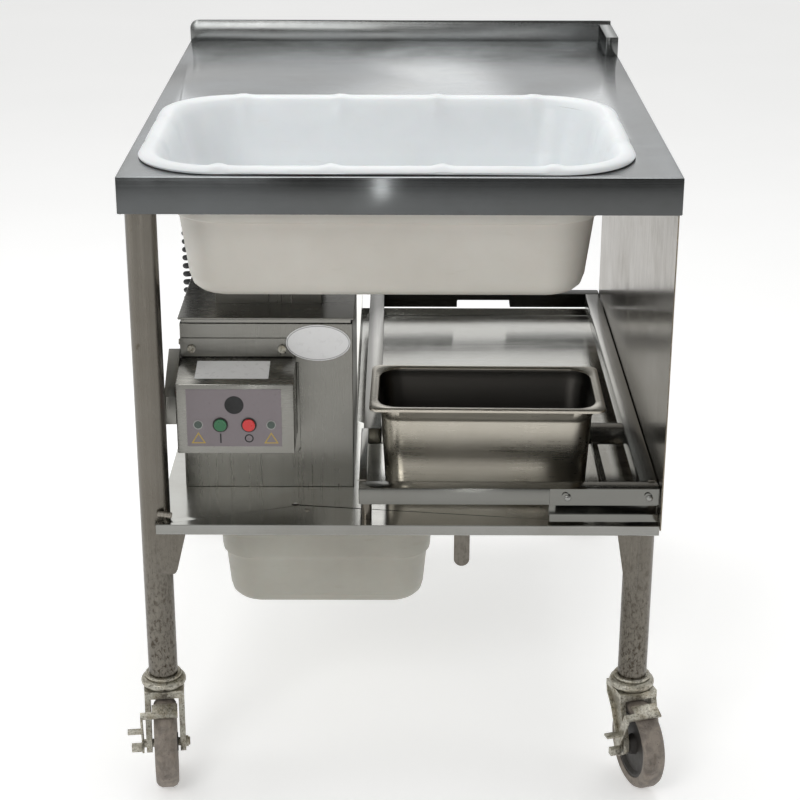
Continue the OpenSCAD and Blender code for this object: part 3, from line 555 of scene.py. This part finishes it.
tub_profile = [
    (470, 262, 36, TB), (512, 303, 48, TB + 1.5), (526, 317, 54, TB + 8), (535, 326, 57, TB + 22),
    (555, 346, 68, 812), (558, 349, 69, 821), (560, 351, 70, 823), (569, 360, 75, 824.4), (573, 364, 77, 827),
    (576, 367, 78, 834),
    (600, 391, 86, 898), (644, 434, 103, 900.6), (654, 444, 107, 901.6), (655.5, 445.5, 108, 904),
    (650, 440, 106, 907.4), (634, 424, 99, 909.2), (618, 408, 92, 908.4), (606, 396, 86, 904.5),
    (592, 383, 82, 893), (580, 371, 78, 868), (568, 359, 73, 838), (562, 353, 71, 828),
    (550, 341, 66, 816), (527, 318, 55, TB + 26), (517, 308, 50, TB + 11), (470, 262, 36, TB + 5.2)]
v, f = tub_mesh(tub_profile, TX, TY, (60, 36), 14, tub_ribs)
tub = add("breading_tub_shell", v, f, "tub", "breading_tub", replaces=("upper_tub",), slot="white_plastic")
v, f = lathe([(0.045, TB * MM - 0.01), (0.045, TB * MM + 0.02)], 64)
cut(tub, "drain_cut", [(x - 0.185, y - 0.180, z) for x, y, z in v], f)
# partly painted shade: outward faces below the rim and the outer floor take the darker tub plastic
tub.data.materials.append(M["tub_out_partly_shaded"])
for p in tub.data.polygons:
    p.use_smooth = True
    c = p.center
    out = Vector((c.x - TX * MM, c.y - TY * MM, 0)).normalized()
    if c.z < 0.8985 and (p.normal.dot(out) > 0.05 or c.z < TB * MM + 0.0035):
        p.material_index = 1
sharp(tub, 40)

# ---------------------------------------------------------------- catch tub
LX, LY, LT = -105.0, FRONT + 85 + 230, 366.0  # middle and rim
low_profile = [
    (228, 346, 30, LT - 131), (264, 382, 40, LT - 129.5), (275, 393, 43, LT - 123), (281, 399, 44, LT - 111),
    (290, 408, 46, LT - 62), (292, 410, 46, LT - 57), (299, 417, 49, LT - 54), (301, 419, 50, LT - 48),
    (303, 421, 51, LT - 24), (309, 427, 53, LT - 15), (320, 438, 58, LT - 12),
    (340, 458, 65, LT - 11), (342, 460, 66, LT - 8), (340, 458, 65, LT - 3),
    (330, 448, 62, LT - 0.4), (308, 426, 54, LT - 1), (300, 418, 50, LT - 4), (296, 414, 48, LT - 14),
    (292, 410, 46, LT - 46), (286, 404, 43, LT - 56), (280, 398, 41, LT - 64), (272, 390, 40, LT - 110),
    (262, 380, 36, LT - 122), (228, 346, 30, LT - 126)]
v, f = tub_mesh(low_profile, LX, LY, (30, 40), 12)
low = add("catch_tub_shell", v, f, "low", "catch_tub", replaces=("lower_tub",), slot="beige_plastic")
sharp(low, 40)

# ---------------------------------------------------------------- steam pan
PX, PY, PB, PT = 122.0, FRONT + 158, 406.3, 556.3  # middle, underside and rim
pan_profile = [
    (240, 90, 16, PB), (268, 119, 24, PB + 0.6), (277, 128, 27, PB + 5), (281, 132, 28, PB + 14),
    (293, 144, 31, PT - 26), (294, 145, 31, PT - 22), (301, 152, 33, PT - 17), (302, 153, 33, PT - 5),
    (306, 157, 30, PT - 2.6), (320, 171, 16, PT - 2.8), (324, 175, 13, PT - 4.8), (325, 176, 13, PT - 3.2),
    (324, 175, 13, PT - 1.0), (319, 170, 16, PT - 0.2), (306, 157, 31, PT - 0.5), (301, 152, 32, PT - 2.8),
    (299.6, 150.6, 31.6, PT - 6), (298.6, 149.6, 31.6, PT - 17), (291.6, 142.6, 29.6, PT - 23),
    (278.6, 129.6, 26.6, PB + 15), (274, 125, 25, PB + 6), (266, 117, 23, PB + 1.9), (240, 90, 16, PB + 1.2)]
v, f = tub_mesh(pan_profile, 0, 0, (30, 16), 12)
R = Matrix.Translation((PX * MM, PY * MM, 0)) @ Matrix.Rotation(math.radians(-0.8), 4, "Z")
pan = add("steam_pan_shell", place(v, R), f, "pan", "dough_pan", replaces=("pan",), slot="pan_steel")
# painted shade: the inside faces below the rim take the darker pan steel
pan.data.materials.append(M["pan_inside_painted_shade"])
for p in pan.data.polygons:
    c = R.inverted() @ p.center
    if c.z < (PT - 4) * MM and p.normal.dot(Vector((c.x, c.y, -0.3 * max(0, 0.5 - c.z)))) < 0:
        p.material_index = 1
sharp(pan, 40)

# ---------------------------------------------------------------- labels, marks and small fittings
def prism(name, outline, y0, y1, mat, body, holes=None, **kw):
    """Plate facing -Y: (x, z) outline in mm between y0 (back) and y1 (front), with softened front edges."""
    n = len(outline)
    cx = sum(p[0] for p in outline) / n
    cz = sum(p[1] for p in outline) / n
    soft = min(0.35, abs(y0 - y1) * 0.4)

    def ring(y, inset):
        out = []
        for x, z in outline:
            d = math.hypot(x - cx, z - cz) or 1
            k = (d - inset) / d
            out.append(((cx + (x - cx) * k) * MM, y * MM, (cz + (z - cz) * k) * MM))
        return out

    v, f = loft([ring(y0, 0), ring(y1 + soft, 0), ring(y1, soft)])
    return sharp(add(name, v, f, mat, body, **kw), 35)


def ellipse(cx, cz, a, b, n=56):
    return [(cx + a * math.cos(2 * math.pi * k / n), cz + b * math.sin(2 * math.pi * k / n)) for k in range(n)]


def ring_mark(name, cx, cz, ro, ri, y0, y1, mat, body, n=48, ratio=1.0):
    v = []
    for r, y in ((ro, y0), (ro, y1), (ri, y1), (ri, y0)):
        v += [((cx + r * math.cos(2 * math.pi * k / n)) * MM, y * MM,
               (cz + (r - ro + ro * ratio) * math.sin(2 * math.pi * k / n)) * MM) for k in range(n)]
    f = []
    for i in range(4):
        for k in range(n):
            a, b = i * n + k, i * n + (k + 1) % n
            c, d = ((i + 1) % 4) * n + (k + 1) % n, ((i + 1) % 4) * n + k
            f.append((a, b, c, d))
    return sharp(add(name, v, f, mat, body), 35)


HF, BF = FRONT + 148, FRONT + 72  # faces of the sifter housing and the control box
oval = prism("oval_plate", ellipse(-113, 625, 45, 26.5), HF, HF - 1.0, "label", "table")
disc = prism("round_plate", ellipse(-225.5, 562, 13, 13), BF - 0.8, BF - 1.4, "black", "table")
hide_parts("blank_plates")
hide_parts("blank_plates")
ring_mark("oval_border", -113, 625, 43.6, 42.6, HF - 0.9, HF - 1.15, "print", "table", 64, 25.1 / 43.6)
ring_mark("stop_mark", -206, 513, 6.2, 4.4, BF - 0.7, BF - 0.95, "black", "table")
prism("start_mark", [(-246, 506), (-244, 506), (-244, 520), (-246, 520)], BF - 0.7, BF - 0.95, "black", "table")
for k, x in enumerate((-275.5, -175.5)):
    side = "left right".split()[k]
    prism("caution_triangle_" + side, [(x - 10, 505.5), (x + 10, 505.5), (x, 522)], BF - 0.7, BF - 0.9,
          "yellow", "table")
    prism("caution_field_" + side, [(x - 7.4, 507), (x + 7.4, 507), (x, 519.2)], BF - 0.8, BF - 1.0,
          "overlay", "table")
    ring_mark("lamp_bezel_" + side, x, 533, 6.6, 5.5, BF - 0.7, BF - 1.5, "plain", "table")
for nm, x in (("start", -245), ("stop", -206)):
    ring_mark(nm + "_bezel", x, 533, 10.6, 9.1, BF - 0.7, BF - 2.0, "dark_and_painted_shade", "table")

# plain white label lying on the box's slope
slope = lambda y, up: 592 + (y - BF) / 76.0 * 13 + up
quad = [(-280, -373), (-179, -373), (-179, -326), (-280, -326)]
lv = [(x * MM, y * MM, slope(y, h) * MM) for h in (0.05, 0.35) for x, y in quad]
add("slope_label", lv, [(0, 3, 2, 1), (4, 5, 6, 7), (0, 1, 5, 4), (1, 2, 6, 5), (2, 3, 7, 6), (3, 0, 4, 7)],
    "label", "table", smooth=False)


def dome(name, at, axis, r, h, mat, body):
    """Low domed bolt head standing out along axis."""
    pts = [(0.02 * r, 0), (r, 0), (r, 0.25 * h), (0.86 * r, 0.62 * h), (0.55 * r, 0.9 * h), (0.02 * r, h)]
    v, f = lathe([(a * MM, b * MM) for a, b in pts], 28)
    m = Matrix.Translation(Vector(at) * MM) @ Vector(axis).to_track_quat("Z", "Y").to_matrix().to_4x4()
    return sharp(add(name, place(v, m), f, mat, body), 35)


RF = FRONT + 19  # front of the rack
for k, x in enumerate((229, 340)):
    dome(f"rack_bolt_{k}", (x, RF - 4.2, 450), (0, -1, 0), 4.6, 2.6, "plain", "rack")
dome("shelf_screw", (-127.5, -392, 406), (0, 0, 1), 4.0, 2.0, "weld", "table")
for k, x in enumerate((-289, -163)):
    dome(f"bracket_bolt_{k}", (x, HF - 2, 617), (0, -1, 0), 5.2, 4.0, "plain", "table")


def bead(name, pts, r, body="table"):
    """Uneven weld bead along a line."""
    out = []
    line = smooth_line(pts, 10)
    k = 10
    for i, p in enumerate(line):
        a, b = Vector(line[max(i - 1, 0)]), Vector(line[min(i + 1, len(line) - 1)])
        t = (b - a).normalized()
        u = t.orthogonal().normalized()
        w = t.cross(u)
        e = min(1.0, 0.35 + min(i, len(line) - 1 - i) / 3.0)
        rr = r * e * (1 + 0.18 * math.sin(i * 2.1) + 0.08 * math.sin(i * 5.3))
        out.append([tuple((Vector(p) + rr * (math.cos(2 * math.pi * q / k) * u + math.sin(2 * math.pi * q / k) * w))
                          * MM) for q in range(k)])
    v, f = loft(out)
    return add(name, v, f, "weld", body)


# welds where the legs, gussets and shelf meet, and the small lug on the front left leg
for k, (x, sx) in enumerate(((-337, 1), (334.2, -1))):
    for m, (y, sy) in enumerate(((-410, -1), (410, 1))):
        bead(f"shelf_weld_{k}{m}", [(x + sx * 22, y + sy * 3, 404), (x + sx * 17, y + sy * 15, 404),
                                    (x + sx * 4, y + sy * 21.5, 404)], 1.9)
bead("lug_weld", [(-331, -431, 418), (-325, -432, 418), (-318, -432, 417), (-312, -430, 415)], 4.2)
for k, x in enumerate((-48.5, 350)):
    bead(f"rack_corner_weld_{k}", [(x - 9, RF + 25.6, 462.2), (x, RF + 25.8, 462.3),
                                   (x + 3 * (1 - k), RF + 25.6, 462.2)], 0.9, "rack")

# ---------------------------------------------------------------- stage
def floor():
    me = bpy.data.meshes.new("floor")
    me.from_pydata([(-9, -9, 0), (9, -9, 0), (9, 9, 0), (-9, 9, 0)], [], [(0, 1, 2, 3)])
    o = bpy.data.objects.new("floor", me)
    bpy.context.collection.objects.link(o)
    t = Tree("floor_pale")
    t.set(Base_Color=t.ramp(t.noise((1, 1, 1), 2.0), [(0.3, (0.90, 0.90, 0.90)), (0.7, (0.93, 0.93, 0.93))]),
          Roughness=0.8, Emission_Strength=0.32)
    t.bsdf.inputs["Emission Color"].default_value = (1, 1, 1, 1)
    me.materials.append(t.mat)
    o.location.z = -0.0005


floor()


def light(name, loc, target, size, power):
    d = bpy.data.lights.new(name, "AREA")
    d.shape, d.size, d.size_y, d.energy = "RECTANGLE", size[0], size[1], power
    o = bpy.data.objects.new(name, d)
    bpy.context.collection.objects.link(o)
    o.location = loc
    o.rotation_euler = (Vector(target) - Vector(loc)).to_track_quat("-Z", "Y").to_euler()


light("key", (0.0, 0.7, 3.0), (0, 0.0, 0.9), (2.4, 1.6), 30)
light("front", (-1.5, -3.2, 2.6), (0, 0, 0.5), (1.4, 1.4), 34)
light("strip", (-0.10, -3.3, 0.9), (-0.03, -0.4, 0.87), (0.03, 1.6), 3.0)
light("side_left", (-3.2, -0.6, 1.2), (0, 0, 0.5), (1.2, 2.0), 16)
light("side_right", (3.2, -0.8, 1.2), (0, 0, 0.5), (1.2, 2.0), 12)


def studio():
    """White to the camera; to everything else a soft studio, dark low down and behind, bright overhead."""
    w = bpy.data.worlds.new("studio")
    SCN.world = w
    w.use_nodes = True
    nt = w.node_tree
    bg = nt.nodes["Background"]
    out = nt.nodes["World Output"]
    co = nt.nodes.new("ShaderNodeTexCoord")
    sep = nt.nodes.new("ShaderNodeSeparateXYZ")
    nt.links.new(co.outputs["Generated"], sep.inputs[0])
    rp = nt.nodes.new("ShaderNodeValToRGB")
    el = rp.color_ramp.elements
    stops = ((0.0, 0.4), (0.30, 0.22), (0.46, 0.16), (0.56, 0.24), (0.75, 0.40), (1.0, 0.6))
    while len(el) < len(stops):
        el.new(0.5)
    for e, (p, v) in zip(el, stops):
        e.position, e.color = p, (v, v, v * 0.98, 1)
    mr = nt.nodes.new("ShaderNodeMapRange")
    mr.inputs["From Min"].default_value = -1
    nt.links.new(sep.outputs[2], mr.inputs["Value"])
    nt.links.new(mr.outputs["Result"], rp.inputs["Fac"])

    def op(kind, a, b=0.0):
        m = nt.nodes.new("ShaderNodeMath")
        m.operation = kind
        for i, v in enumerate((a, b)):
            if hasattr(v, "links"):
                nt.links.new(v, m.inputs[i])
            else:
                m.inputs[i].default_value = v
        return m.outputs[0]

    def fade(v, lo, hi):
        m = nt.nodes.new("ShaderNodeMapRange")
        m.interpolation_type = "SMOOTHSTEP"
        m.inputs["From Min"].default_value, m.inputs["From Max"].default_value = lo, hi
        nt.links.new(v, m.inputs["Value"])
        return m.outputs["Result"]

    x, y, z = sep.outputs
    back = op("MULTIPLY", fade(y, 0.35, 0.85), fade(z, -0.05, 0.12))
    band = op("MULTIPLY", back, op("SUBTRACT", 1.0, fade(op("ABSOLUTE", op("ADD", x, -0.005)), 0.015, 0.075)))
    glow = op("ADD", op("MULTIPLY", back, 0.65), op("MULTIPLY", band, 0.9))
    total = nt.nodes.new("ShaderNodeMix")
    total.data_type, total.blend_type = "RGBA", "ADD"
    total.inputs[0].default_value = 1.0
    nt.links.new(rp.outputs["Color"], total.inputs[6])
    nt.links.new(glow, total.inputs[7])
    nt.links.new(total.outputs[2], bg.inputs["Color"])
    bg.inputs["Strength"].default_value = 0.9
    white = nt.nodes.new("ShaderNodeBackground")
    white.inputs["Color"].default_value = (1, 1, 1, 1)
    white.inputs["Strength"].default_value = 1.0
    lp = nt.nodes.new("ShaderNodeLightPath")
    mx = nt.nodes.new("ShaderNodeMixShader")
    nt.links.new(lp.outputs["Is Camera Ray"], mx.inputs[0])
    nt.links.new(bg.outputs[0], mx.inputs[1])
    nt.links.new(white.outputs[0], mx.inputs[2])
    nt.links.new(mx.outputs[0], out.inputs["Surface"])


studio()
SCN.view_settings.view_transform = "Standard"
